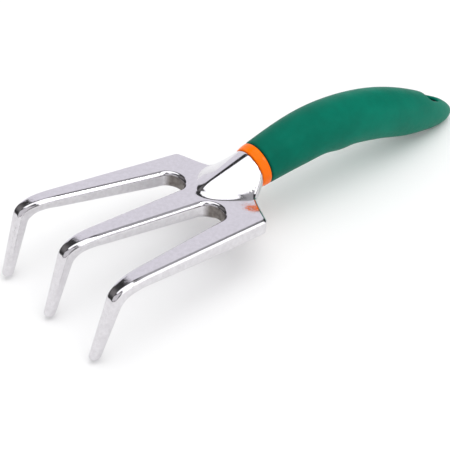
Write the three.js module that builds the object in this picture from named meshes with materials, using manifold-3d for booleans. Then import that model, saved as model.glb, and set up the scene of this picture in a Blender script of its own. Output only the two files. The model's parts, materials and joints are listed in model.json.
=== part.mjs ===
// Hand cultivator: a one-piece cast aluminium head with three bent tines, a collar ring round its
// spigot, a hard plastic handle core moulded round its tang, and a soft sleeve over the core.
//
// Millimetres, +Z up, +X towards the butt of the handle. The tool stands on its three tine tips and
// the underside of the butt, and the origin is at the bottom centre of its bounding box.
//
// The pieces are first made in the head's own frame: z = 0 is the flat top of the yoke and tines,
// x = 0 the line through the yoke's two rear corners, and y = 0 the plane of symmetry.
import * as THREE from 'three';
import { mergeVertices } from 'three/addons/utils/BufferGeometryUtils.js';
import Module from 'manifold-3d';

const clearance = 0.3;

// Yoke
const yokeHalfWidth = 38;
const yokeThickness = 9.5;
const edgeBevel = 1.3;
const backRise = 8.5;
const backHalfWidth = 18;
const slotEnd = -12;
const slotEndLength = 9;
const stubReach = -26;

// Tines
const tineReach = 99.4;
const outerSplay = 0.0735;
const outerRootWidth = 14;
const midRootWidth = 16.8;
const tineBendWidth = 6.1;
const tineBendThickness = 6.6;
const prongLength = 45;
const prongLean = THREE.MathUtils.degToRad(14.7);
const prongTopWidth = 7.2;
const prongTopDepth = 6.2;
const prongTipWidth = 5.4;
const prongTipDepth = 6;
const prongDrift = 1.9;
const bendLeadIn = 20;
const bendLeadOut = 8;
const innerBendLeadIn = 12;
const innerBendLeadOut = 7;

// Hub
const hubNose = -18;
const hubNoseHalfWidth = 11;
const hubNoseHalfHeight = 4.5;
const hubShoulder = 8.5;
const hubShoulderHalfWidth = 15;

// Collar, spigot and tang
const collarStart = { x: 20, z: 3.8 };
const collarRise = THREE.MathUtils.degToRad(15);
const spigotRadius = 9.5;
const collarWall = 2.1;
const collarFlare = 0.7;
const collarWidth = 6.2;
const collarChamfer = 0.6;
const collarFrontRadius = spigotRadius + clearance + collarWall;
const collarRadius = collarFrontRadius + collarFlare;
const tangReach = 80;
const tangWidth = 10;
const tangHeight = 7;
const tangTipScale = 0.7;

// Handle
const gripLength = 155.3;
const gripButtDrop = 11.7;
const gripButtSlope = -0.145;
const gripArch = 5.2;
const gripWidestRadius = 15.2;
const gripWidestAt = 78;
const sleeveWall = 3;
const hangHoleWidth = 7.5;
const hangHoleLength = 12;
const hangHoleFromButt = 22;
const dishHalfLength = 11;
const dishHalfWidth = 6.2;
const dishDepth = 2.2;

// Facets
const tineSteps = { straight: 4, bend: 8, prong: 3, tip: 3 };
const tineSides = 12;
const hubSides = 40;
const hubSteps = 10;
const handleSides = 32;
const handleSteps = { front: 10, rear: 12 };
const lastRearAngle = 0.94 * Math.PI / 2;

const wasm = await Module();
wasm.setup();

function solid(geometry) {
  const bare = geometry.clone();
  bare.deleteAttribute('normal');
  bare.deleteAttribute('uv');
  const merged = mergeVertices(bare, 1e-4);
  return new wasm.Manifold(new wasm.Mesh({
    numProp: 3,
    vertProperties: merged.attributes.position.array,
    triVerts: new Uint32Array(merged.index.array),
  }));
}

function geometryOf(manifold) {
  const { vertProperties, triVerts } = manifold.getMesh();
  const geometry = new THREE.BufferGeometry();
  geometry.setAttribute('position', new THREE.BufferAttribute(vertProperties, 3));
  geometry.setIndex(new THREE.BufferAttribute(triVerts, 1));
  return geometry;
}

// A closed loft: each ring of a unit cylinder becomes one section. place(step, across, up) gives
// the point of section number step for a point of the unit circle.
function loft(sides, steps, place) {
  const geometry = new THREE.CylinderGeometry(1, 1, 1, sides, steps);
  const position = geometry.attributes.position;
  for (let i = 0; i < position.count; i += 1) {
    const step = Math.round((0.5 + position.getY(i)) * steps);
    const point = place(step, position.getX(i), position.getZ(i));
    position.setXYZ(i, point.x, point.y, point.z);
  }
  return geometry;
}

// The unit circle's points moved onto a rectangle with rounded corners, three points to a corner.
function onRoundedRectangle(across, up, halfWidth, halfHeight, radius) {
  if (Math.hypot(across, up) < 0.5) return { across: 0, up: 0 };
  const turn = (Math.atan2(across, up) + 2 * Math.PI) % (2 * Math.PI);
  const point = Math.round(turn / (2 * Math.PI) * tineSides) % tineSides;
  const corner = Math.floor(point / 3);
  const angle = (corner + (point % 3) / 2) * Math.PI / 2;
  const sideways = corner < 2 ? 1 : -1;
  const upwards = corner === 0 || corner === 3 ? 1 : -1;
  return {
    across: sideways * (halfWidth - radius) + radius * Math.sin(angle),
    up: upwards * (halfHeight - radius) + radius * Math.cos(angle),
  };
}

// ---- Head casting ----

// Top-face edges, as distances from the plane of symmetry at a distance forward of the corners.
const outerEdge = (forward) => yokeHalfWidth + outerSplay * forward;
const outerWidth = (forward) => THREE.MathUtils.lerp(outerRootWidth, tineBendWidth, forward / tineReach);
const innerEdge = (forward) => outerEdge(forward) - outerWidth(forward);
const midHalfWidth = (forward) => (
  THREE.MathUtils.lerp(midRootWidth, tineBendWidth, forward / tineReach) / 2
);

// Each slot between two tines ends in half an ellipse on the top face.
const slotForward = slotEndLength - slotEnd;
const slotMiddle = (innerEdge(slotForward) + midHalfWidth(slotForward)) / 2;
const slotHalf = (innerEdge(slotForward) - midHalfWidth(slotForward)) / 2;

function makeYoke() {
  const stub = -stubReach;
  const shape = new THREE.Shape();
  shape.moveTo(stubReach, -outerEdge(stub));
  shape.lineTo(0, -yokeHalfWidth);
  shape.lineTo(backRise, -backHalfWidth);
  shape.lineTo(backRise, backHalfWidth);
  shape.lineTo(0, yokeHalfWidth);
  shape.lineTo(stubReach, outerEdge(stub));
  shape.lineTo(stubReach, innerEdge(stub));
  shape.lineTo(-slotForward, innerEdge(slotForward));
  shape.absellipse(-slotForward, slotMiddle, slotEndLength, slotHalf, Math.PI / 2, -Math.PI / 2, true);
  shape.lineTo(stubReach, midHalfWidth(stub));
  shape.lineTo(stubReach, -midHalfWidth(stub));
  shape.lineTo(-slotForward, -midHalfWidth(slotForward));
  shape.absellipse(-slotForward, -slotMiddle, slotEndLength, slotHalf, Math.PI / 2, -Math.PI / 2, true);
  shape.lineTo(stubReach, -innerEdge(stub));
  shape.closePath();
  const plate = new THREE.ExtrudeGeometry(shape, {
    depth: yokeThickness - 2 * edgeBevel,
    bevelThickness: edgeBevel,
    bevelSize: edgeBevel,
    bevelSegments: 2,
    curveSegments: 10,
  });
  plate.translate(0, 0, edgeBevel - yokeThickness);
  return plate;
}

// The rear end of a slot, inside the bevels, as a tall block that clears the hub's sides out of it.
function makeSlotCutter(side) {
  const half = slotHalf - edgeBevel;
  const length = slotEndLength - edgeBevel;
  const shape = new THREE.Shape();
  shape.moveTo(-slotForward - length, side * slotMiddle + half);
  shape.lineTo(-slotForward, side * slotMiddle + half);
  shape.absellipse(-slotForward, side * slotMiddle, length, half, Math.PI / 2, -Math.PI / 2, true);
  shape.lineTo(-slotForward - length, side * slotMiddle - half);
  shape.closePath();
  const height = 4 * yokeThickness;
  const cutter = new THREE.ExtrudeGeometry(shape, { depth: height, bevelEnabled: false, curveSegments: 10 });
  cutter.translate(0, 0, -height / 2);
  return cutter;
}

// One side of a tine seen from the side: straight, bent and straight again, as three curves.
function tineOutline(start, corner, tip, leadIn, leadOut) {
  const towardsStart = start.clone().sub(corner).setLength(leadIn).add(corner);
  const towardsTip = tip.clone().sub(corner).setLength(leadOut).add(corner);
  return [
    new THREE.LineCurve(start, towardsStart),
    new THREE.QuadraticBezierCurve(towardsStart, corner, towardsTip),
    new THREE.LineCurve(towardsTip, tip),
  ];
}

const prongAlong = new THREE.Vector2(-Math.sin(prongLean), -Math.cos(prongLean));
const prongAcross = new THREE.Vector2(-prongAlong.y, prongAlong.x);
const bendCorner = new THREE.Vector2(-tineReach, 0);
const prongEnd = prongAlong.clone().multiplyScalar(prongLength).add(bendCorner);
const innerCorner = new THREE.Vector2(-tineReach + prongTopDepth, -tineBendThickness);
const innerEnd = prongAcross.clone().multiplyScalar(prongTipDepth).add(prongEnd);
const tineRoot = -stubReach - 3;
const outerOutline = tineOutline(
  new THREE.Vector2(-tineRoot, 0), bendCorner, prongEnd, bendLeadIn, bendLeadOut,
);
const innerOutline = tineOutline(
  new THREE.Vector2(-tineRoot, -yokeThickness), innerCorner, innerEnd, innerBendLeadIn, innerBendLeadOut,
);

// Which stretch of the outline a section lies on, how far along it, and how much the tip narrows.
function tineStation(step) {
  const bendStart = tineSteps.straight;
  const prongStart = bendStart + tineSteps.bend;
  const tipStart = prongStart + tineSteps.prong;
  const tipShare = prongTipDepth / 2 / (prongLength - bendLeadOut);
  if (step <= bendStart) return { part: 0, share: step / tineSteps.straight, narrowing: 1 };
  if (step <= prongStart) return { part: 1, share: (step - bendStart) / tineSteps.bend, narrowing: 1 };
  if (step <= tipStart) {
    return { part: 2, share: (1 - tipShare) * (step - prongStart) / tineSteps.prong, narrowing: 1 };
  }
  const angle = (step - tipStart) / tineSteps.tip * 0.8 * Math.PI / 2;
  return { part: 2, share: 1 - tipShare + tipShare * Math.sin(angle), narrowing: Math.cos(angle) };
}

// centreAt and widthAt give the middle and the top-face width at a distance forward.
function makeTine(centreAt, widthAt, drift) {
  const steps = Object.values(tineSteps).reduce((sum, count) => sum + count, 0);
  return loft(tineSides, steps, (step, across, up) => {
    const { part, share, narrowing } = tineStation(step);
    const outer = outerOutline[part].getPoint(share);
    const inner = innerOutline[part].getPoint(share);
    const forward = Math.min(-outer.x, tineReach);
    const down = part === 2 ? share : 0;
    const flatWidth = widthAt(forward) + 2 * edgeBevel;
    const bent = part === 1 ? share : 0;
    const tineWidth = THREE.MathUtils.lerp(flatWidth, prongTopWidth, bent);
    const prongWidth = THREE.MathUtils.lerp(prongTopWidth, prongTipWidth, down);
    const halfWidth = (part === 2 ? prongWidth : tineWidth) / 2 * narrowing;
    const depth = outer.distanceTo(inner);
    const section = onRoundedRectangle(across, up, halfWidth, depth / 2 * narrowing, edgeBevel * narrowing);
    const outwards = outer.clone().sub(inner).divideScalar(depth);
    const middle = outer.clone().add(inner).divideScalar(2);
    return {
      x: middle.x + outwards.x * section.up,
      y: centreAt(forward) - drift * down + section.across,
      z: middle.y + outwards.y * section.up,
    };
  });
}

// The hub is a blunt cone, elliptical where it leaves the yoke and round at the collar.
function makeHub() {
  const length = collarStart.x - hubNose;
  const shoulderShare = (hubShoulder - hubNose) / length;
  const noseCentre = -hubNoseHalfHeight;
  return loft(hubSides, hubSteps, (step, across, up) => {
    const share = 1 - step / hubSteps;
    const halfHeight = THREE.MathUtils.lerp(hubNoseHalfHeight, collarFrontRadius, share);
    const centre = THREE.MathUtils.lerp(noseCentre, collarStart.z, share);
    const widening = THREE.MathUtils.mapLinear(
      share, 0, shoulderShare, hubNoseHalfWidth, hubShoulderHalfWidth,
    );
    const narrowing = THREE.MathUtils.mapLinear(
      share, shoulderShare, 1, hubShoulderHalfWidth, collarFrontRadius,
    );
    const halfWidth = share < shoulderShare ? widening : narrowing;
    const tilt = collarRise * share;
    return {
      x: hubNose + length * share - Math.sin(tilt) * halfHeight * up,
      y: across * halfWidth,
      z: centre + Math.cos(tilt) * halfHeight * up,
    };
  });
}

const collarAxis = new THREE.Vector3(Math.cos(collarRise), 0, Math.sin(collarRise));
const collarCentre = new THREE.Vector3(collarStart.x, 0, collarStart.z);

// Turns a shape made round +Y to stand on the collar's axis, starting along mm behind the hub.
function ontoCollarAxis(geometry, along) {
  const turn = new THREE.Quaternion().setFromUnitVectors(new THREE.Vector3(0, 1, 0), collarAxis);
  const start = collarAxis.clone().multiplyScalar(along).add(collarCentre);
  geometry.applyQuaternion(turn);
  geometry.translate(start.x, start.y, start.z);
  return geometry;
}

function makeSpigot() {
  const sunk = 4;
  const length = collarWidth + 2 * clearance + sunk;
  const spigot = new THREE.CylinderGeometry(spigotRadius, spigotRadius, length, handleSides);
  spigot.translate(0, length / 2 - sunk, 0);
  return ontoCollarAxis(spigot, 0);
}

// ---- Handle ----

const gripFront = collarAxis.clone().multiplyScalar(collarWidth + 3 * clearance).add(collarCentre);
const rearLength = gripLength - gripWidestAt;

// Height and slope of the handle's axis at a distance behind the grip's front: a cubic that leaves
// along the collar's axis and reaches the butt at its own height and slope, and an arch over both.
function gripAxis(along) {
  const u = along / gripLength;
  const startSlope = Math.tan(collarRise) * gripLength;
  const endSlope = gripButtSlope * gripLength;
  const a = startSlope + endSlope + 2 * gripButtDrop;
  const b = -(2 * startSlope + endSlope + 3 * gripButtDrop);
  const arch = 16 * gripArch * (u * (1 - u)) ** 2;
  const archSlope = 32 * gripArch * u * (1 - u) * (1 - 2 * u);
  return {
    z: gripFront.z + u * (startSlope + u * (b + u * a)) + arch,
    slope: (startSlope + u * (2 * b + 3 * u * a) + archSlope) / gripLength,
  };
}

// Distance along and radius of a handle section, inset mm inside the grip's surface.
function gripSection(step, inset) {
  const widest = gripWidestRadius - inset;
  if (step <= handleSteps.front) {
    const share = step / handleSteps.front;
    const flare = (gripWidestRadius - collarRadius) * (1 - share) ** 2;
    return { along: gripWidestAt * share, radius: widest - flare };
  }
  const angle = (step - handleSteps.front) / handleSteps.rear * lastRearAngle;
  return {
    along: gripWidestAt + (rearLength - inset) * Math.sin(angle),
    radius: widest * Math.cos(angle),
  };
}

function makeHandleBody(inset, frontExtra) {
  const steps = handleSteps.front + handleSteps.rear;
  return loft(handleSides, steps, (step, across, up) => {
    const section = gripSection(steps - step, inset);
    const along = step === steps ? -frontExtra : section.along;
    const axis = gripAxis(along);
    const tilt = Math.atan(axis.slope);
    return {
      x: gripFront.x + along - Math.sin(tilt) * section.radius * up,
      y: across * section.radius,
      z: axis.z + Math.cos(tilt) * section.radius * up,
    };
  });
}

// The tang follows the handle's axis. extra widens it all round to make the core's socket.
function makeTang(extra) {
  const steps = 8;
  const front = -collarWidth - extra;
  return loft(tineSides, steps, (step, across, up) => {
    const share = 1 - step / steps;
    const along = THREE.MathUtils.lerp(front, tangReach + extra, share);
    const axis = gripAxis(along);
    const tilt = Math.atan(axis.slope);
    const scale = THREE.MathUtils.lerp(1, tangTipScale, share);
    const section = onRoundedRectangle(
      across, up, tangWidth / 2 * scale + extra, tangHeight / 2 * scale + extra, 1,
    );
    return {
      x: gripFront.x + along - Math.sin(tilt) * section.up,
      y: section.across,
      z: axis.z + Math.cos(tilt) * section.up,
    };
  });
}

// The hanging hole: a slot straight across the handle's axis, and a dish round its upper mouth.
const holeAlong = gripLength - hangHoleFromButt;
const holeAxis = gripAxis(holeAlong);

function ontoHoleAxis(geometry) {
  geometry.rotateY(-Math.atan(holeAxis.slope));
  geometry.translate(gripFront.x + holeAlong, 0, holeAxis.z);
  return geometry;
}

function makeHangSlot() {
  const radius = hangHoleWidth / 2;
  const reach = (hangHoleLength - hangHoleWidth) / 2;
  const shape = new THREE.Shape();
  shape.absarc(reach, 0, radius, -Math.PI / 2, Math.PI / 2, false);
  shape.absarc(-reach, 0, radius, Math.PI / 2, 3 * Math.PI / 2, false);
  shape.closePath();
  const depth = 4 * gripWidestRadius;
  const slot = new THREE.ExtrudeGeometry(shape, { depth, bevelEnabled: false, curveSegments: 12 });
  return ontoHoleAxis(slot.translate(0, 0, -depth / 2));
}

function makeDish() {
  const surface = gripWidestRadius * Math.sqrt(1 - ((holeAlong - gripWidestAt) / rearLength) ** 2);
  const dish = new THREE.SphereGeometry(1, 24, 12);
  dish.scale(dishHalfLength, dishHalfWidth, dishDepth);
  dish.translate(0, 0, surface);
  return ontoHoleAxis(dish);
}

// ---- Pieces ----

function makeHead() {
  const outerCentre = (forward) => outerEdge(forward) - outerWidth(forward) / 2;
  const parts = [
    makeTine(() => 0, (forward) => 2 * midHalfWidth(forward), 0),
    makeTine(outerCentre, outerWidth, prongDrift),
    makeTine((forward) => -outerCentre(forward), outerWidth, -prongDrift),
    makeSpigot(),
    makeTang(0),
  ];
  const hub = solid(makeHub()).subtract(solid(makeSlotCutter(1))).subtract(solid(makeSlotCutter(-1)));
  return parts.reduce((head, part) => head.add(solid(part)), solid(makeYoke()).add(hub));
}

function makeCollarRing() {
  const bore = spigotRadius + clearance;
  const profile = [
    [bore, 0],
    [collarFrontRadius - collarChamfer, 0],
    [collarFrontRadius, collarChamfer],
    [collarRadius, collarWidth - collarChamfer],
    [collarRadius - collarChamfer, collarWidth],
    [bore, collarWidth],
    [bore, 0],
  ].map(([radius, height]) => new THREE.Vector2(radius, height));
  return solid(ontoCollarAxis(new THREE.LatheGeometry(profile, 48), clearance));
}

function makeHandleCore() {
  return solid(makeHandleBody(sleeveWall + clearance, 0))
    .subtract(solid(makeTang(clearance)))
    .subtract(solid(makeHangSlot()));
}

function makeGripSleeve() {
  return solid(makeHandleBody(0, 0))
    .subtract(solid(makeHandleBody(sleeveWall, 1)))
    .subtract(solid(makeHangSlot()))
    .subtract(solid(makeDish()));
}

const aluminium = { color: 0xc9c7cf, roughness: 0.22, metalness: 1 };
const orangePlastic = { color: 0xff7a00, roughness: 0.25, metalness: 0 };
const darkPlastic = { color: 0x202322, roughness: 0.6, metalness: 0 };
const softGreen = { color: 0x087a62, roughness: 0.55, metalness: 0 };

const pieces = [
  ['head_casting', makeHead, aluminium],
  ['collar_ring', makeCollarRing, orangePlastic],
  ['handle_core', makeHandleCore, darkPlastic],
  ['grip_sleeve', makeGripSleeve, softGreen],
];

const tool = new THREE.Group();
for (const [name, make, look] of pieces) {
  const mesh = new THREE.Mesh(geometryOf(make()), new THREE.MeshStandardMaterial(look));
  mesh.name = name;
  tool.add(mesh);
}

// The tool tips forward until the tine tips and the butt's underside share the ground.
function lowestAt(angle, inFront) {
  const lowest = { height: Infinity, x: 0, z: 0 };
  for (const mesh of tool.children) {
    const position = mesh.geometry.attributes.position;
    for (let i = 0; i < position.count; i += 1) {
      const x = position.getX(i);
      const z = position.getZ(i);
      const height = Math.cos(angle) * z - Math.sin(angle) * x;
      if (x < 0 === inFront && height < lowest.height) Object.assign(lowest, { height, x, z });
    }
  }
  return lowest;
}

let restAngle = 0;
for (let pass = 0; pass < 6; pass += 1) {
  const tip = lowestAt(restAngle, true);
  const butt = lowestAt(restAngle, false);
  restAngle = Math.atan2(butt.z - tip.z, butt.x - tip.x);
}
tool.rotation.y = restAngle;
tool.updateMatrixWorld(true);
const box = new THREE.Box3().setFromObject(tool, true);
tool.position.set(-(box.min.x + box.max.x) / 2, -(box.min.y + box.max.y) / 2, -box.min.z);

const part = new THREE.Group();
part.add(tool);
export default part;
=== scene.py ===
"""Looks of the hand cultivator: a polished head casting, an orange collar ring and a soft green grip.

Shapes are worked out in millimetres in the head's own frame, where z = 0 is the flat top of the
yoke and tines, x = 0 the line through the yoke's rear corners and y = 0 the plane of symmetry.
The head and the grip are implicit surfaces, so that every edge and junction is truly rounded.
"""
import json
import math

import bpy
import numpy as np
from mathutils import Matrix, Vector


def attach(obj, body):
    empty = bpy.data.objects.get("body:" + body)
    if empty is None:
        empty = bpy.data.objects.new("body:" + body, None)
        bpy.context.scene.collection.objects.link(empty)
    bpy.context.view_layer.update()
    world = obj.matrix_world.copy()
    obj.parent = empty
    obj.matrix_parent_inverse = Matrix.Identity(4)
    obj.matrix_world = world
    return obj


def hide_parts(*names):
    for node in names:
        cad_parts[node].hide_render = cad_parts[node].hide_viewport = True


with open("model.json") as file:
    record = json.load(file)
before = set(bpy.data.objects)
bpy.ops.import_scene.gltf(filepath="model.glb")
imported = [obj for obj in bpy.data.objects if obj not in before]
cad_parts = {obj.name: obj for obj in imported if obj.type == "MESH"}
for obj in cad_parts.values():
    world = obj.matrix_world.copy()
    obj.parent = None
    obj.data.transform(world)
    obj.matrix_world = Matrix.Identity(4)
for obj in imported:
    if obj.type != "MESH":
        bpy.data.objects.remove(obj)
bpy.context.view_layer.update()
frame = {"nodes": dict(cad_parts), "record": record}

MM = 0.001

# Yoke
YOKE_HALF_WIDTH = 38.0
YOKE_THICKNESS = 9.5
YOKE_CORNER_RADIUS = 2.2
BACK_RISE = 8.5
BACK_HALF_WIDTH = 18.0
SLOT_END = 12.0
SLOT_END_LENGTH = 9.0
TOP_EDGE_LEG = 1.5
TOP_EDGE_SOFTNESS = 0.6
LOWER_EDGE_RADIUS = 2.4
EDGE_BEVEL = 1.3

# Tines
TINE_REACH = 99.4
OUTER_SPLAY = 0.0735
OUTER_ROOT_WIDTH = 14.0
MID_ROOT_WIDTH = 16.8
TINE_BEND_WIDTH = 6.1
TINE_BEND_THICKNESS = 6.6
PRONG_LENGTH = 45.0
PRONG_LEAN = math.radians(14.7)
PRONG_TOP_WIDTH = 7.2
PRONG_TOP_DEPTH = 6.2
PRONG_TIP_WIDTH = 5.4
PRONG_TIP_DEPTH = 6.0
PRONG_DRIFT = 1.9
BEND_LEAD_IN = 20.0
BEND_LEAD_OUT = 8.0
INNER_BEND_LEAD_IN = 12.0
INNER_BEND_LEAD_OUT = 7.0
TINE_ROOT = 23.0

# Hub and collar
CLEARANCE = 0.3
COLLAR_X = 20.0
COLLAR_Z = 3.8
COLLAR_RISE = math.radians(15)
SPIGOT_RADIUS = 9.5
COLLAR_FRONT_RADIUS = SPIGOT_RADIUS + CLEARANCE + 2.1
COLLAR_RADIUS = COLLAR_FRONT_RADIUS + 0.7
COLLAR_WIDTH = 5.5
HUB_NOSE = -15.5
HUB_NOSE_RADIUS = 5.0
HUB_NOSE_CURVE = 20.0
HUB_NOSE_SLOPE = (0.75, 0.5)
HUB_NOSE_BLEND = 4.0
HUB_EDGE_RADIUS = 1.4
HUB_RIDGE_START = 2.6
HUB_FILLET = 1.8
HUB_FRONT_LEAN = math.radians(16)
HUB_REAR_LEAN = math.radians(48)
HUB_REAR_TAPER = math.radians(32)

# Grip
GRIP_LENGTH = 156.0
GRIP_BUTT_DROP = 11.7
GRIP_BUTT_SLOPE = -0.145
GRIP_ARCH = 5.2
GRIP_FRONT_RADIUS = COLLAR_RADIUS
GRIP_WIDEST_RADIUS = 15.2
GRIP_WIDEST_AT = 78.0
SLEEVE_WALL = 3.0
HANG_SLOT_WIDTH = 7.5
HANG_SLOT_LENGTH = 12.0
HANG_SLOT_FROM_BUTT = 22.0
DISH_HALF_LENGTH = 11.0
DISH_HALF_WIDTH = 6.2
DISH_DEPTH = 2.2
HANG_SLOT_EASING = 1.2
HANG_SLOT_LIP = 1.4
GRIP_FRONT_ROUNDING = 1.2
SWELLS_UNDERNEATH = (
    # depth (negative stands out), distance behind the grip's front, half width
    (0.85, 38.0, 8.0),
    (-1.0, 54.0, 7.0),
    (0.2, 67.0, 7.0),
    (-0.9, 112.0, 14.0),
)
SWELLS_ON_TOP = (
    # height, distance behind the grip's front, half width
    (1.2, 32.0, 25.0),
    (0.4, 125.0, 22.0),
)

# Fineness of the meshes
HEAD_CELL = 0.48
GRIP_CELL = 0.8
TABLE_STEP = 0.25

# Colours, each as its darkest and its lightest tone
ALUMINIUM_TOP = ((0.665, 0.65, 0.68), (0.715, 0.70, 0.735))
ALUMINIUM_SIDE = ((0.64, 0.62, 0.645), (0.74, 0.725, 0.75))
# Dark tone for the rear ends of the slots: a painted reflection of shade, not the metal's own colour
ALUMINIUM_PAINTED_REFLECTION = ((0.15, 0.135, 0.125), (0.28, 0.255, 0.24))
ORANGE = ((0.93, 0.15, 0.0), (1.0, 0.18, 0.0))
GREEN = ((0.0, 0.145, 0.094), (0.0, 0.185, 0.121))
# Painted shade: the green dimmed near the collar, where the light falls less
GREEN_PAINTED_SHADE = ((0.0, 0.10, 0.066), (0.0, 0.135, 0.088))
CORE_BLACK = ((0.010, 0.011, 0.011), (0.018, 0.02, 0.019))
FLOOR_WHITE = ((0.93, 0.93, 0.935), (0.95, 0.95, 0.95))


# ---- The head's frame in the row's frame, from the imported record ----

def head_to_row():
    """The matrix from the head's frame, in mm, to the row's frame, in metres."""
    mount = next(m for m in frame["record"]["mounts"] if m["name"] == "yoke_underside")
    tilt = math.atan2(-mount["axis"][0], -mount["axis"][2])
    turn = Matrix.Rotation(tilt, 4, "Y") @ Matrix.Scale(MM, 4)
    known_point = Vector((-3.5, 25.0, -YOKE_THICKNESS))
    offset = Vector(mount["pos_m"]) - turn @ known_point
    return Matrix.Translation(offset) @ turn


TO_ROW = head_to_row()


# ---- Implicit surfaces ----

def soft_min(a, b, reach):
    """The lower of two distances, blended over reach to leave a fillet."""
    share = np.clip(0.5 + 0.5 * (b - a) / reach, 0.0, 1.0)
    return b + (a - b) * share - reach * share * (1.0 - share)


def soft_max(a, b, reach):
    return -soft_min(-a, -b, reach)


def rounded_both(a, b, radius):
    """Inside both a and b, with the edge between them rounded to radius."""
    over_a = np.maximum(a + radius, 0.0)
    over_b = np.maximum(b + radius, 0.0)
    return np.minimum(np.maximum(a, b) + radius, 0.0) + np.hypot(over_a, over_b) - radius


def chamfered_both(a, b, leg, softness):
    """Inside both a and b, with the edge between them cut at 45 degrees and its corners eased."""
    cut = (a + b + leg) * math.sqrt(0.5)
    return soft_max(soft_max(a, b, 0.2), cut, softness)


def polygon_distance(u, v, corners):
    """Signed distance to a closed polygon, negative inside, at arrays of points."""
    best = np.full(u.shape, 1e9)
    inside = np.zeros(u.shape, dtype=bool)
    for (au, av), (bu, bv) in zip(corners, np.roll(corners, -1, axis=0)):
        du, dv = bu - au, bv - av
        length_squared = du * du + dv * dv
        if length_squared < 1e-12:
            continue
        along = np.clip(((u - au) * du + (v - av) * dv) / length_squared, 0.0, 1.0)
        off = (u - au - along * du) ** 2 + (v - av - along * dv) ** 2
        best = np.minimum(best, off)
        if av != bv:
            crosses = (av > v) != (bv > v)
            inside ^= crosses & (u < du * (v - av) / dv + au)
    return np.where(inside, -1.0, 1.0) * np.sqrt(best)


class Table:
    """A smooth function of two coordinates, kept on a fine grid and read between its points."""

    def __init__(self, function, u_range, v_range, step):
        self.low = (u_range[0], v_range[0])
        self.step = step
        u = np.arange(u_range[0], u_range[1] + step, step)
        v = np.arange(v_range[0], v_range[1] + step, step)
        self.values = function(*np.meshgrid(u, v, indexing="ij"))

    def __call__(self, u, v):
        rows, columns = self.values.shape
        i = np.clip((u - self.low[0]) / self.step, 0, rows - 1.001)
        j = np.clip((v - self.low[1]) / self.step, 0, columns - 1.001)
        row, column = i.astype(int), j.astype(int)
        i, j = i - row, j - column
        grid = self.values
        near = grid[row, column] * (1 - j) + grid[row, column + 1] * j
        far = grid[row + 1, column] * (1 - j) + grid[row + 1, column + 1] * j
        return near * (1 - i) + far * i


def surface_mesh(name, distance, low, high, cell):
    """A closed mesh of distance = 0: one vertex in each cell that the surface crosses, moved onto
    the surface, with the surface's own normals for shading."""
    low = np.array(low, float)
    inside = inside_grid(distance, low, np.array(high, float), cell)
    counts = np.array(inside.shape)
    corner_sum = np.zeros(tuple(counts - 1), dtype=np.int16)
    for di, dj, dk in np.ndindex(2, 2, 2):
        corner_sum += inside[di:counts[0] - 1 + di, dj:counts[1] - 1 + dj, dk:counts[2] - 1 + dk]
    crossed = (corner_sum > 0) & (corner_sum < 8)
    number = np.full(tuple(counts - 1), -1, dtype=np.int64)
    number[crossed] = np.arange(crossed.sum())
    points = low + cell * (np.argwhere(crossed) + 0.5)
    reach = 0.72 * cell
    start_points = points.copy()
    for _ in range(8):
        value, slope = value_and_slope(distance, points)
        step = (value / np.maximum((slope ** 2).sum(axis=1), 1e-9))[:, None] * slope
        points = start_points + np.clip(points - step - start_points, -reach, reach)
    faces = cell_faces(inside, number)
    _, slope = value_and_slope(distance, points)
    normals = slope / np.maximum(np.linalg.norm(slope, axis=1, keepdims=True), 1e-9)
    return mesh_object(name, points, faces, normals)


def inside_grid(distance, low, high, cell):
    """Which points of a fine grid lie inside, worked out closely only in blocks near the surface."""
    block = 8
    blocks = np.ceil((high - low) / (cell * block)).astype(int)
    starts = np.indices(tuple(blocks)).reshape(3, -1).T
    middles = low + cell * (starts * block + (block - 1) / 2)
    value = distance(*middles.T)
    reach = 1.6 * cell * block * math.sqrt(3) / 2
    inside = np.repeat((value < 0).reshape(tuple(blocks)), block, axis=0)
    inside = np.repeat(np.repeat(inside, block, axis=1), block, axis=2)
    steps = np.indices((block, block, block)).reshape(3, -1).T
    for near in np.array_split(starts[np.abs(value) < reach], 40):
        index = near[:, None, :] * block + steps[None]
        inside[tuple(index.reshape(-1, 3).T)] = distance(*(low + cell * index.reshape(-1, 3)).T) < 0
    return inside


def value_and_slope(distance, points):
    nudge = 0.04
    x, y, z = points.T
    slope = np.stack([
        distance(x + nudge, y, z) - distance(x - nudge, y, z),
        distance(x, y + nudge, z) - distance(x, y - nudge, z),
        distance(x, y, z + nudge) - distance(x, y, z - nudge),
    ], axis=1) / (2 * nudge)
    return distance(x, y, z), slope


def cell_faces(inside, number):
    """A quad round every grid edge whose ends lie on different sides of the surface."""
    faces = []
    for axis in range(3):
        first, second = (axis + 1) % 3, (axis + 2) % 3
        lower = np.take(inside, range(inside.shape[axis] - 1), axis=axis)
        upper = np.take(inside, range(1, inside.shape[axis]), axis=axis)
        for leaving in (True, False):
            edges = np.argwhere((lower & ~upper) if leaving else (upper & ~lower))
            corners = []
            for back_first, back_second in ((1, 1), (0, 1), (0, 0), (1, 0)):
                cell = edges.copy()
                cell[:, first] -= back_first
                cell[:, second] -= back_second
                corners.append(number[cell[:, 0], cell[:, 1], cell[:, 2]])
            quads = np.stack(corners, axis=1)
            faces.append(quads if leaving else quads[:, ::-1])
    return np.concatenate(faces)


def mesh_object(name, points, faces, normals=None):
    """A smooth-shaded object from points in the head's frame, in mm."""
    mesh = bpy.data.meshes.new(name)
    mesh.from_pydata(points.tolist(), [], faces.tolist())
    mesh.transform(TO_ROW)
    mesh.shade_smooth()
    if normals is not None:
        turned = normals @ np.array(TO_ROW.to_3x3().normalized()).T
        mesh.normals_split_custom_set_from_vertices(turned.tolist())
    made = bpy.data.objects.new(name, mesh)
    bpy.context.scene.collection.objects.link(made)
    return made


# ---- Head ----

def outer_edge(forward):
    return YOKE_HALF_WIDTH + OUTER_SPLAY * forward


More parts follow.
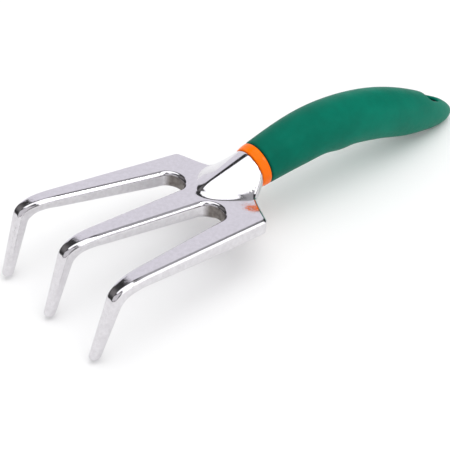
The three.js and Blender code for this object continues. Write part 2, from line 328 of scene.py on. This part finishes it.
def outer_width(forward):
    return OUTER_ROOT_WIDTH + (TINE_BEND_WIDTH - OUTER_ROOT_WIDTH) * forward / TINE_REACH


def inner_edge(forward):
    return outer_edge(forward) - outer_width(forward)


def mid_half_width(forward):
    return (MID_ROOT_WIDTH + (TINE_BEND_WIDTH - MID_ROOT_WIDTH) * forward / TINE_REACH) / 2


def arc(centre, radii, start, end, count):
    angles = np.radians(np.linspace(start, end, count))
    return [(centre[0] + radii[0] * math.cos(a), centre[1] + radii[1] * math.sin(a)) for a in angles]


def quadratic(start, control, end, count):
    shares = np.linspace(0.0, 1.0, count)[:, None]
    start, control, end = (np.array(p) for p in (start, control, end))
    return (1 - shares) ** 2 * start + 2 * shares * (1 - shares) * control + shares ** 2 * end


def towards(start, end, length):
    start, end = np.array(start, float), np.array(end, float)
    return start + (end - start) * (length / np.linalg.norm(end - start))


def rounded_corner(before, corner, after, radius):
    """The points of a corner of a polyline rounded with a short curve."""
    return quadratic(towards(corner, before, radius), corner, towards(corner, after, radius), 7)


PRONG_ALONG = np.array([-math.sin(PRONG_LEAN), -math.cos(PRONG_LEAN)])
PRONG_ACROSS = np.array([-PRONG_ALONG[1], PRONG_ALONG[0]])


def side_profile():
    """The outline of the yoke and a tine seen from the side, as (x, z) points."""
    corner = np.array([-TINE_REACH, 0.0])
    end = corner + PRONG_LENGTH * PRONG_ALONG
    inner_corner = np.array([-TINE_REACH + PRONG_TOP_DEPTH, -TINE_BEND_THICKNESS])
    inner_end = end + PRONG_TIP_DEPTH * PRONG_ACROSS
    root = np.array([-TINE_ROOT, -YOKE_THICKNESS])
    behind = COLLAR_X
    bend_end = corner + BEND_LEAD_OUT * PRONG_ALONG
    top = [(behind, 0.0), *quadratic(corner + [BEND_LEAD_IN, 0.0], corner, bend_end, 40)]
    tip_half = PRONG_TIP_DEPTH / 2
    lean = math.degrees(PRONG_LEAN)
    tip = arc(end - tip_half * PRONG_ALONG + tip_half * PRONG_ACROSS, (tip_half, tip_half),
              180 - lean, 360 - lean, 17)
    under = list(quadratic(towards(inner_corner, inner_end, INNER_BEND_LEAD_OUT), inner_corner,
                           towards(inner_corner, root, INNER_BEND_LEAD_IN), 24))
    return np.array(top + tip + under + [tuple(root), (behind, -YOKE_THICKNESS)])


def tine_sides(centre, half_width, drift):
    """One tine's two edges and rounded tip, as (forward, across) points from its outer root."""
    stop = TINE_REACH + PRONG_LENGTH * math.cos(PRONG_LEAN) - YOKE_THICKNESS
    tip_half = PRONG_TIP_WIDTH / 2
    outer, inner = [], []
    for forward in np.linspace(TINE_ROOT, stop - tip_half, 60):
        on_prong = np.clip((forward - TINE_REACH) / (stop - TINE_REACH), 0.0, 1.0)
        bent = np.clip((forward - TINE_REACH + 10.0) / 14.0, 0.0, 1.0)
        bent = bent * bent * (3 - 2 * bent)
        flat = half_width(min(forward, TINE_REACH)) + EDGE_BEVEL
        prong = (PRONG_TOP_WIDTH + (PRONG_TIP_WIDTH - PRONG_TOP_WIDTH) * on_prong) / 2
        half = flat + (prong - flat) * bent
        middle = centre(min(forward, TINE_REACH)) - drift * on_prong
        outer.append((forward, middle + half))
        inner.append((forward, middle - half))
    tip = arc((stop - tip_half, centre(TINE_REACH) - drift), (tip_half, tip_half), 90, -90, 13)
    return outer, tip, inner[::-1]


def slot_end(side):
    """The rounded rear end of a slot, from the outer tine's inner edge to the middle tine."""
    forward = SLOT_END + SLOT_END_LENGTH
    middle = (inner_edge(forward) + mid_half_width(forward)) / 2
    half = (inner_edge(forward) - mid_half_width(forward)) / 2 - EDGE_BEVEL
    return arc((forward, side * middle), (SLOT_END_LENGTH - EDGE_BEVEL, half), 90, 270, 73)


def plan_outline():
    """The fork laid flat, bevels included, as (forward, across) points."""
    side = EDGE_BEVEL
    far = tine_sides(lambda f: outer_edge(f) - outer_width(f) / 2, lambda f: outer_width(f) / 2,
                     PRONG_DRIFT)
    mid = tine_sides(lambda f: 0.0, mid_half_width, 0.0)
    corner = (-side / 2, YOKE_HALF_WIDTH + side)
    back = (-BACK_RISE - side, BACK_HALF_WIDTH + side / 2)
    points = [*rounded_corner(back, corner, far[0][0], YOKE_CORNER_RADIUS)]
    points += [*far[0], *far[1], *far[2], *slot_end(1)]
    points += [*mid[0], *mid[1], *mid[2], *slot_end(-1)]
    near = [(f, -a) for f, a in [*far[0], *far[1], *far[2]]][::-1]
    points += near
    points += [(f, -a) for f, a in rounded_corner(back, corner, far[0][0], YOKE_CORNER_RADIUS)][::-1]
    points += [(back[0], -back[1]), back]
    return np.array(points)


SIDE = side_profile()
PROFILE = Table(lambda x, z: polygon_distance(x, z, SIDE), (-116.0, 24.0), (-50.0, 20.0), TABLE_STEP)
PLAN = plan_outline()
OUTLINE = Table(lambda f, a: polygon_distance(f, a, PLAN), (-24.0, 142.0), (-50.0, 50.0), TABLE_STEP)


def laid_flat(x, z):
    """How far forward a point lies along the fork, once its prongs are laid flat."""
    turned = np.clip((-z - 3.0) / 10.0, 0.0, 1.0) * np.clip((-x - 80.0) / 10.0, 0.0, 1.0)
    forward = np.minimum(-x, TINE_REACH)
    return forward + (TINE_REACH - forward) * turned + np.maximum(-z - YOKE_THICKNESS, 0.0)


def buffed_hollow(x, y):
    """Depth of the faint hollows that buffing leaves in the top of the yoke beside the hub."""
    return 0.55 * np.exp(-((x - 4.0) / 8.0) ** 2 - ((np.abs(y) - 24.0) / 7.0) ** 2)


def fork(x, y, z):
    profile = PROFILE(x, z + buffed_hollow(x, y))
    outline = OUTLINE(laid_flat(x, z), y)
    bevelled = chamfered_both(profile, outline, TOP_EDGE_LEG, TOP_EDGE_SOFTNESS)
    rounded = rounded_both(profile, outline, LOWER_EDGE_RADIUS)
    underneath = np.clip((-z - 3.0) / 4.0, 0.0, 1.0) * np.clip((x + 95.0) / 6.0, 0.0, 1.0)
    return bevelled + (rounded - bevelled) * underneath


def along_collar(x, z):
    """Distance along the collar's axis behind its front plane, and height above the axis."""
    along = (x - COLLAR_X) * math.cos(COLLAR_RISE) + (z - COLLAR_Z) * math.sin(COLLAR_RISE)
    up = (z - COLLAR_Z) * math.cos(COLLAR_RISE) - (x - COLLAR_X) * math.sin(COLLAR_RISE)
    return along, up


def hub(x, y, z):
    """A blunt wedge with a round ridge that rises from its nose to the collar, and at the back a
    cone that narrows to the collar's size."""
    share = np.clip((x - HUB_NOSE) / (COLLAR_X - HUB_NOSE), 0.0, 1.1)
    radius = HUB_NOSE_RADIUS + (COLLAR_FRONT_RADIUS - HUB_NOSE_RADIUS) * share
    ridge_end = COLLAR_Z + COLLAR_FRONT_RADIUS
    centre = HUB_RIDGE_START + (ridge_end - HUB_RIDGE_START) * share - radius
    lean = HUB_FRONT_LEAN + (HUB_REAR_LEAN - HUB_FRONT_LEAN) * share
    across, above = np.abs(y), z - centre
    flank = across * np.sin(lean) + above * np.cos(lean)
    on_ridge = above * np.sin(lean) > across * np.cos(lean)
    wedge = np.where(on_ridge, np.hypot(across, above), flank) - radius
    nose = HUB_NOSE_SLOPE[0] * (HUB_NOSE - x + y * y / HUB_NOSE_CURVE) + HUB_NOSE_SLOPE[1] * z
    along, up = along_collar(x, z)
    cone_radius = COLLAR_FRONT_RADIUS - along * math.tan(HUB_REAR_TAPER)
    cone = (np.hypot(y, up) - cone_radius) * math.cos(HUB_REAR_TAPER)
    body = rounded_both(soft_max(wedge, nose, HUB_NOSE_BLEND), cone, HUB_EDGE_RADIUS)
    body = rounded_both(body, -YOKE_THICKNESS - z, LOWER_EDGE_RADIUS)
    return rounded_both(body, along, 0.4)


def spigot(x, y, z):
    along, up = along_collar(x, z)
    length = COLLAR_WIDTH + 2 * CLEARANCE
    return rounded_both(np.hypot(y, up) - SPIGOT_RADIUS, np.abs(along) - length, 0.4)


def slots_clear(x, y):
    """Positive inside the slots between the tines, so that the hub leaves them open."""
    return np.where(x < 0.0, OUTLINE(-x, y), -10.0)


def head(x, y, z):
    clear_hub = rounded_both(hub(x, y, z), slots_clear(x, y), HUB_EDGE_RADIUS)
    return np.minimum(soft_min(fork(x, y, z), clear_hub, HUB_FILLET), spigot(x, y, z))


def make_head():
    low = (-114.0, -50.0, -47.0)
    high = (COLLAR_X + 12.0, 50.0, 20.0)
    return surface_mesh("head_polished", head, low, high, HEAD_CELL)


# ---- Collar ring ----

COLLAR_AXIS = Vector((math.cos(COLLAR_RISE), 0.0, math.sin(COLLAR_RISE)))
COLLAR_CENTRE = Vector((COLLAR_X, 0.0, COLLAR_Z))


def ring_profile():
    """(radius, along) points of the ring's section: a tapered band with rounded edges."""
    bore = SPIGOT_RADIUS + CLEARANCE
    edge = 0.7
    front = arc((edge, COLLAR_FRONT_RADIUS - edge + 0.1), (edge, edge), 180, 90, 7)
    rear = arc((COLLAR_WIDTH - edge, COLLAR_RADIUS - edge), (edge, edge), 90, 0, 7)
    middle = [(COLLAR_WIDTH * 0.45, COLLAR_RADIUS - 0.18)]
    inner = [(COLLAR_WIDTH, bore), (0.0, bore)]
    return [(radius, along) for along, radius in front + middle + rear + inner]


def make_ring():
    profile = ring_profile()
    around = 128
    upright = Vector((-COLLAR_AXIS.z, 0.0, COLLAR_AXIS.x))
    points, faces = [], []
    for turn in range(around):
        angle = 2 * math.pi * turn / around
        outwards = Vector((0.0, math.cos(angle), 0.0)) + upright * math.sin(angle)
        for radius, along in profile:
            points.append(COLLAR_CENTRE + COLLAR_AXIS * (along + CLEARANCE) + outwards * radius)
    size = len(profile)
    for turn in range(around):
        after = (turn + 1) % around
        for k in range(size):
            nxt = (k + 1) % size
            faces.append((turn * size + k, turn * size + nxt, after * size + nxt, after * size + k))
    ring = mesh_object("collar_ring_glossy", np.array([tuple(p) for p in points]), np.array(faces))
    sharpen(ring, 40)
    return ring


def sharpen(made, degrees):
    """Marks the edges that are sharper than this, so that flat ends stay flat in the shading."""
    bpy.context.view_layer.objects.active = made
    made.select_set(True)
    bpy.ops.object.shade_smooth_by_angle(angle=math.radians(degrees))
    made.select_set(False)


# ---- Grip ----

GRIP_FRONT_X = COLLAR_X + COLLAR_AXIS.x * (COLLAR_WIDTH + 3 * CLEARANCE)
GRIP_FRONT_Z = COLLAR_Z + COLLAR_AXIS.z * (COLLAR_WIDTH + 3 * CLEARANCE)
REAR_LENGTH = GRIP_LENGTH - GRIP_WIDEST_AT


def grip_axis(along):
    """Height and slope of the handle's axis at a distance behind the grip's front."""
    u = along / GRIP_LENGTH
    start_slope = math.tan(COLLAR_RISE) * GRIP_LENGTH
    end_slope = GRIP_BUTT_SLOPE * GRIP_LENGTH
    a = start_slope + end_slope + 2 * GRIP_BUTT_DROP
    b = -(2 * start_slope + end_slope + 3 * GRIP_BUTT_DROP)
    height = GRIP_FRONT_Z + u * (start_slope + u * (b + u * a)) + 16 * GRIP_ARCH * (u * (1 - u)) ** 2
    arch_slope = 32 * GRIP_ARCH * u * (1 - u) * (1 - 2 * u)
    return height, (start_slope + u * (2 * b + 3 * u * a) + arch_slope) / GRIP_LENGTH


def grip_coordinates(x, z):
    """Distance along the handle's axis and height above it."""
    x_on_axis = x - GRIP_FRONT_X
    for _ in range(4):
        height, slope = grip_axis(x_on_axis)
        off = x_on_axis - (x - GRIP_FRONT_X) + (height - z) * slope
        x_on_axis = np.clip(x_on_axis - off / (1 + slope ** 2), -20.0, GRIP_LENGTH + 20.0)
    height, slope = grip_axis(x_on_axis)
    tilt = np.arctan(slope)
    up = (z - height) * np.cos(tilt) - (x - GRIP_FRONT_X - x_on_axis) * np.sin(tilt)
    return x_on_axis, up


def swell(along, swells):
    return sum(size * np.exp(-((along - middle) / width) ** 2) for size, middle, width in swells)


def handle_body(along, y, up, inset):
    """The handle's outer shape, inset mm under the grip's surface."""
    widest = GRIP_WIDEST_RADIUS - inset
    before = np.clip(1.0 - along / GRIP_WIDEST_AT, 0.0, 1.5)
    radius = widest - (GRIP_WIDEST_RADIUS - GRIP_FRONT_RADIUS) * before ** 2
    behind = np.maximum(along - GRIP_WIDEST_AT, 0.0) / (REAR_LENGTH - inset)
    off_axis = np.hypot(y, up)
    reach = np.sqrt(behind ** 2 + (off_axis / widest) ** 2 + 1e-9)
    slope = np.sqrt((behind / (REAR_LENGTH - inset)) ** 2 + (off_axis / widest ** 2) ** 2) / reach
    rear = (reach - 1.0) / np.maximum(slope, 1e-4)
    body = np.where(along < GRIP_WIDEST_AT, off_axis - radius, rear)
    turned = up / np.maximum(off_axis, 1e-6)
    underneath, on_top = np.clip(-turned, 0.0, 1.0), np.clip(turned, 0.0, 1.0)
    fingers, thumb = swell(along, SWELLS_UNDERNEATH), swell(along, SWELLS_ON_TOP)
    return body + fingers * underneath ** 2 - thumb * on_top ** 2


SLOT_ALONG = GRIP_LENGTH - HANG_SLOT_FROM_BUTT
SLOT_SURFACE = GRIP_WIDEST_RADIUS * math.sqrt(1 - ((SLOT_ALONG - GRIP_WIDEST_AT) / REAR_LENGTH) ** 2)


def hang_slot(along, y):
    straight = (HANG_SLOT_LENGTH - HANG_SLOT_WIDTH) / 2
    beside = np.maximum(np.abs(along - SLOT_ALONG) - straight, 0.0)
    return np.hypot(beside, y) - HANG_SLOT_WIDTH / 2


def dish(along, y, up):
    u = (along - SLOT_ALONG) / DISH_HALF_LENGTH
    v = y / DISH_HALF_WIDTH
    w = (up - SLOT_SURFACE) / DISH_DEPTH
    reach = np.sqrt(u ** 2 + v ** 2 + w ** 2 + 1e-9)
    slope = np.sqrt((u / DISH_HALF_LENGTH) ** 2 + (v / DISH_HALF_WIDTH) ** 2 + (w / DISH_DEPTH) ** 2)
    return (reach - 1.0) * reach / np.maximum(slope, 1e-4)


def grip(x, y, z):
    along, up = grip_coordinates(x, z)
    outer = rounded_both(handle_body(along, y, up, 0.0), -along, GRIP_FRONT_ROUNDING)
    cavity = np.maximum(handle_body(along, y, up, SLEEVE_WALL), -along - 1.0)
    openings = soft_min(dish(along, y, up), hang_slot(along, y), HANG_SLOT_EASING)
    return np.maximum(soft_max(outer, -openings, HANG_SLOT_LIP), -cavity)


def make_grip():
    low = (GRIP_FRONT_X - 5.0, -18.0, -25.0)
    high = (GRIP_FRONT_X + GRIP_LENGTH + 3.0, 18.0, 34.0)
    return surface_mesh("grip_soft", grip, low, high, GRIP_CELL)


# ---- Materials ----

def maths_node(tree, operation, *values):
    """The result of a maths node whose inputs are sockets or plain numbers."""
    node = tree.nodes.new("ShaderNodeMath")
    node.operation = operation
    for socket, value in zip(node.inputs, values):
        if isinstance(value, (int, float)):
            socket.default_value = value
        else:
            tree.links.new(value, socket)
    return node.outputs[0]


class Nodes:
    """A material's node tree, built from short calls."""

    def __init__(self, name):
        self.material = bpy.data.materials.new(name)
        self.material.use_nodes = True
        self.tree = self.material.node_tree
        self.tree.nodes.clear()
        self.shader = self.add("ShaderNodeBsdfPrincipled")
        output = self.add("ShaderNodeOutputMaterial")
        self.link(self.shader.outputs["BSDF"], output.inputs["Surface"])
        self.place = self.add("ShaderNodeTexCoord").outputs["Object"]

    def add(self, kind, **settings):
        node = self.tree.nodes.new(kind)
        for key, value in settings.items():
            setattr(node, key, value)
        return node

    def link(self, source, target):
        self.tree.links.new(source, target)

    def noise(self, scale, detail=4.0, roughness=0.5, stretch=(1.0, 1.0, 1.0)):
        mapping = self.add("ShaderNodeMapping")
        mapping.inputs["Scale"].default_value = stretch
        self.link(self.place, mapping.inputs["Vector"])
        node = self.add("ShaderNodeTexNoise")
        node.inputs["Scale"].default_value = scale
        node.inputs["Detail"].default_value = detail
        node.inputs["Roughness"].default_value = roughness
        self.link(mapping.outputs["Vector"], node.inputs["Vector"])
        return node.outputs["Fac"]

    def spread(self, value, low, high, to_low, to_high):
        node = self.add("ShaderNodeMapRange")
        ends = {"From Min": low, "From Max": high, "To Min": to_low, "To Max": to_high}
        for key, number in ends.items():
            node.inputs[key].default_value = number
        self.link(value, node.inputs["Value"])
        return node.outputs["Result"]

    def mottled(self, scale, tones, detail=3.0, roughness=0.5, low=0.3, high=0.7):
        """A colour that wanders between two tones."""
        share = self.spread(self.noise(scale, detail, roughness), low, high, 0.0, 1.0)
        node = self.add("ShaderNodeMix", data_type="RGBA")
        self.link(share, node.inputs["Factor"])
        for key, tone in zip("AB", tones):
            node.inputs[key].default_value = (*tone, 1.0)
        return node.outputs["Result"]

    def blend(self, factor, first, second):
        """Between two colours that are themselves worked out by nodes."""
        node = self.add("ShaderNodeMix", data_type="RGBA")
        for key, socket in (("Factor", factor), ("A", first), ("B", second)):
            self.link(socket, node.inputs[key])
        return node.outputs["Result"]

    def maths(self, operation, *values):
        return maths_node(self.tree, operation, *values)

    def split(self, vector):
        node = self.add("ShaderNodeSeparateXYZ")
        self.link(vector, node.inputs["Vector"])
        return node.outputs

    def bump(self, height, strength, distance, under=None):
        node = self.add("ShaderNodeBump")
        node.inputs["Strength"].default_value = strength
        node.inputs["Distance"].default_value = distance
        self.link(height, node.inputs["Height"])
        if under is not None:
            self.link(under, node.inputs["Normal"])
        return node.outputs["Normal"]

    def set(self, **values):
        """Sets the shader's own sockets, to a plain number or from another node."""
        for key, value in values.items():
            socket = self.shader.inputs[key.replace("_", " ")]
            if isinstance(value, float):
                socket.default_value = value
            else:
                self.link(value, socket)


def polished_aluminium():
    """Polished on top, satin at the sides, and rougher in the rear ends of the slots, where a painted
    reflection of shade darkens the colour.
    """
    nodes = Nodes("polished_aluminium")
    facing = nodes.split(nodes.add("ShaderNodeNewGeometry").outputs["Normal"])
    level = nodes.maths("MULTIPLY", facing["Z"], facing["Z"])
    on_side = nodes.spread(level, 0.1, 0.5, 1.0, 0.0)
    forward_side = nodes.maths("MULTIPLY", nodes.spread(facing["X"], -0.75, -0.35, 1.0, 0.0), on_side)
    behind_bends = nodes.spread(nodes.split(nodes.place)["X"], -0.075, -0.06, 0.0, 1.0)
    # Mask for the rear ends of the slots: rougher there, and darkened with a painted reflection of
    # shade
    rough_with_painted_reflection = nodes.maths("MULTIPLY", forward_side, behind_bends)
    top = nodes.mottled(420.0, ALUMINIUM_TOP, 6.0, 0.7, 0.36, 0.64)
    side = nodes.mottled(420.0, ALUMINIUM_SIDE, 6.0, 0.7, 0.36, 0.64)
    painted_reflection_tone = nodes.mottled(420.0, ALUMINIUM_PAINTED_REFLECTION, 5.0, 0.7, 0.35, 0.65)
    haze = nodes.spread(nodes.noise(420.0, 6.0, 0.65), 0.3, 0.72, 0.05, 0.11)
    satin = nodes.maths("ADD", haze, nodes.maths("MULTIPLY", on_side, 0.05))
    waves = nodes.bump(nodes.noise(38.0, 1.0), 0.03, 0.002)
    hairlines = nodes.bump(nodes.noise(700.0, 3.0, 0.6, (0.05, 1.0, 1.0)), 0.05, 0.0002, waves)
    pitted = nodes.spread(nodes.noise(650.0, 5.0, 0.75), 0.33, 0.47, 0.0, 1.0)
    nodes.set(
        Metallic=1.0,
        Base_Color=nodes.blend(rough_with_painted_reflection, nodes.blend(on_side, top, side), painted_reflection_tone),
        Roughness=nodes.maths("ADD", satin, nodes.maths("MULTIPLY", rough_with_painted_reflection, 0.3)),
        Normal=nodes.bump(pitted, 0.05, 0.0002, hairlines),
    )
    return nodes.material


def orange_plastic():
    nodes = Nodes("orange_plastic")
    nodes.set(
        Specular_IOR_Level=0.14,
        Base_Color=nodes.mottled(140.0, ORANGE),
        Roughness=nodes.spread(nodes.noise(500.0), 0.3, 0.7, 0.16, 0.24),
        Normal=nodes.bump(nodes.noise(900.0, 3.0), 0.08, 0.0003),
    )
    return nodes.material


def soft_rubber():
    """Matt green, with painted shade that dims it near the collar."""
    nodes = Nodes("soft_green_rubber")
    # Painted shade near the collar, blended into the green
    painted_shade_near_collar = nodes.spread(nodes.split(nodes.place)["X"], -0.01, 0.07, 0.9, 0.0)
    green = nodes.mottled(60.0, GREEN, 5.0, 0.6)
    shaded_green = nodes.mottled(60.0, GREEN_PAINTED_SHADE, 5.0, 0.6)
    lumps = nodes.bump(nodes.noise(70.0, 2.0), 0.12, 0.002)
    nodes.set(
        Specular_IOR_Level=0.06,
        Base_Color=nodes.blend(painted_shade_near_collar, green, shaded_green),
        Roughness=nodes.spread(nodes.noise(420.0, 5.0, 0.6), 0.3, 0.7, 0.36, 0.5),
        Normal=nodes.bump(nodes.noise(2600.0, 3.0, 0.6), 0.18, 0.0002, lumps),
    )
    return nodes.material


def core_plastic():
    nodes = Nodes("core_plastic")
    nodes.set(
        Base_Color=nodes.mottled(200.0, CORE_BLACK),
        Roughness=nodes.spread(nodes.noise(700.0), 0.3, 0.7, 0.5, 0.65),
        Normal=nodes.bump(nodes.noise(1500.0), 0.1, 0.0002),
    )
    return nodes.material


def floor_material():
    nodes = Nodes("pale_floor")
    nodes.set(Base_Color=nodes.mottled(3.0, FLOOR_WHITE), Roughness=0.9)
    return nodes.material


# ---- Camera, floor and light ----

# The camera in the head's frame, because the view is known from the tool's own edges
EYE = (-392.93, -437.1, 376.56)
VIEW_ALONG = (0.5568, 0.6091, -0.5647)
TO_THE_RIGHT = (0.7741, -0.6271, 0.0870)
SENSOR_WIDTH = 36.0
LENS = 104.0
FLOOR_HALF_WIDTH = 6.0


def place_camera():
    eye = TO_ROW @ Vector(EYE)
    view_along = (TO_ROW.to_3x3() @ Vector(VIEW_ALONG)).normalized()
    to_the_right = (TO_ROW.to_3x3() @ Vector(TO_THE_RIGHT)).normalized()
    up = to_the_right.cross(view_along).normalized()
    rotation = Matrix((to_the_right, up, -view_along)).transposed()
    camera = bpy.data.objects.new("camera", bpy.data.cameras.new("camera"))
    camera.matrix_world = Matrix.Translation(eye) @ rotation.to_4x4()
    camera.data.sensor_width = SENSOR_WIDTH
    camera.data.lens = LENS
    camera.data.clip_start, camera.data.clip_end = 0.01, 20.0
    bpy.context.scene.collection.objects.link(camera)
    bpy.context.scene.camera = camera


def make_floor():
    far = FLOOR_HALF_WIDTH
    mesh = bpy.data.meshes.new("floor")
    corners = [(-far, -far, 0), (far, -far, 0), (far, far, 0), (-far, far, 0)]
    mesh.from_pydata(corners, [], [(0, 1, 2, 3)])
    floor = bpy.data.objects.new("floor", mesh)
    bpy.context.scene.collection.objects.link(floor)
    floor.data.materials.append(floor_material())


class Sky:
    """The studio round the object, as node maths on the direction looked in."""

    def __init__(self, tree):
        self.tree = tree
        self.direction = tree.nodes.new("ShaderNodeTexCoord").outputs["Generated"]

    def maths(self, operation, *values):
        return maths_node(self.tree, operation, *values)

    def fade(self, value, start, end):
        """1 below start, 0 above end."""
        node = self.tree.nodes.new("ShaderNodeMapRange")
        node.interpolation_type = "SMOOTHSTEP"
        self.tree.links.new(value, node.inputs["Value"])
        ends = {"From Min": start, "From Max": end, "To Min": 1.0, "To Max": 0.0}
        for key, number in ends.items():
            node.inputs[key].default_value = number
        return node.outputs["Result"]

    def panel(self, azimuth, elevation, half_width, half_height, softness):
        """1 inside a soft box seen in this direction, angles in degrees."""
        turn = self.tree.nodes.new("ShaderNodeVectorRotate")
        turn.rotation_type = "EULER_XYZ"
        turn.invert = True
        turn.inputs["Rotation"].default_value = (0.0, -math.radians(elevation), math.radians(azimuth))
        self.tree.links.new(self.direction, turn.inputs["Vector"])
        split = self.tree.nodes.new("ShaderNodeSeparateXYZ")
        self.tree.links.new(turn.outputs["Vector"], split.inputs["Vector"])
        ahead = self.maths("MAXIMUM", split.outputs["X"], 0.0001)
        shares = []
        for side, half in (("Y", half_width), ("Z", half_height)):
            off = self.maths("ABSOLUTE", self.maths("DIVIDE", split.outputs[side], ahead))
            edge = math.tan(math.radians(half))
            shares.append(self.fade(off, edge - softness, edge + softness))
        return self.maths("MULTIPLY", *shares)

    def mix(self, factor, first, second):
        node = self.tree.nodes.new("ShaderNodeMix")
        node.data_type = "RGBA"
        self.tree.links.new(factor, node.inputs["Factor"])
        for key, value in (("A", first), ("B", second)):
            if isinstance(value, tuple):
                node.inputs[key].default_value = (*value, 1.0)
            else:
                self.tree.links.new(value, node.inputs[key])
        return node.outputs["Result"]


DARK_STUDIO = (0.045, 0.045, 0.045)
TENT = (1.0, 1.0, 1.0)
SOFT_BOXES = (
    # azimuth, elevation, half width, half height (all in degrees), softness of the edge, colour
    (62.0, 12.0, 27.0, 32.0, 0.04, (0.93, 0.91, 0.97)),
    (129.0, 38.0, 20.0, 13.0, 0.2, (0.21, 0.20, 0.20)),
    (284.0, 18.0, 11.5, 57.0, 0.04, (1.7, 1.7, 1.72)),
    (313.0, 18.0, 14.5, 57.0, 0.04, (1.7, 1.7, 1.72)),
    (300.0, 48.0, 8.0, 8.0, 0.1, (9.0, 9.0, 8.7)),
    (352.0, 52.0, 30.0, 8.0, 0.04, (0.45, 0.45, 0.46)),
    (212.0, 30.0, 42.0, 26.0, 0.04, (0.75, 0.74, 0.76)),
    (0.0, 90.0, 25.0, 25.0, 0.04, (1.6, 1.6, 1.62)),
)
ROOM_BELOW = (0.85, 0.84, 0.85)
BACKDROP = (0.96, 0.96, 0.965)


def make_sky():
    """Shiny surfaces see soft boxes in a dark studio, everything else an even white tent."""
    world = bpy.data.worlds.new("studio")
    bpy.context.scene.world = world
    world.use_nodes = True
    tree = world.node_tree
    tree.nodes.clear()
    sky = Sky(tree)
    height = tree.nodes.new("ShaderNodeSeparateXYZ")
    tree.links.new(sky.direction, height.inputs["Vector"])
    studio = DARK_STUDIO
    for *shape, colour in SOFT_BOXES:
        studio = sky.mix(sky.panel(*shape), studio, colour)
    studio = sky.mix(sky.fade(height.outputs["Z"], -0.03, 0.0), studio, ROOM_BELOW)
    rays = tree.nodes.new("ShaderNodeLightPath")
    tent = sky.mix(rays.outputs["Is Glossy Ray"], TENT, studio)
    shown = sky.mix(rays.outputs["Is Camera Ray"], tent, BACKDROP)
    background = tree.nodes.new("ShaderNodeBackground")
    tree.links.new(shown, background.inputs["Color"])
    output = tree.nodes.new("ShaderNodeOutputWorld")
    tree.links.new(background.outputs["Background"], output.inputs["Surface"])


def add_light(name, place, size, watts):
    light = bpy.data.lights.new(name, "AREA")
    light.energy = watts
    light.size = size
    made = bpy.data.objects.new(name, light)
    made.location = place
    made.rotation_mode = "QUATERNION"
    made.rotation_quaternion = (-Vector(place)).to_track_quat("-Z", "Y")
    made.visible_glossy = False
    bpy.context.scene.collection.objects.link(made)


def finish_piece(made, material, node):
    made.data.materials.clear()
    made.data.materials.append(material)
    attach(made, "root")
    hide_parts(node)


finish_piece(make_head(), polished_aluminium(), "head_casting")
finish_piece(make_ring(), orange_plastic(), "collar_ring")
finish_piece(make_grip(), soft_rubber(), "grip_sleeve")
for core_slot in frame["nodes"]["handle_core"].material_slots:
    core_slot.material = core_plastic()

bpy.context.scene.view_settings.view_transform = "Standard"
place_camera()
make_floor()
make_sky()
add_light("overhead", (0.1, -0.1, 1.0), 0.9, 2.5)
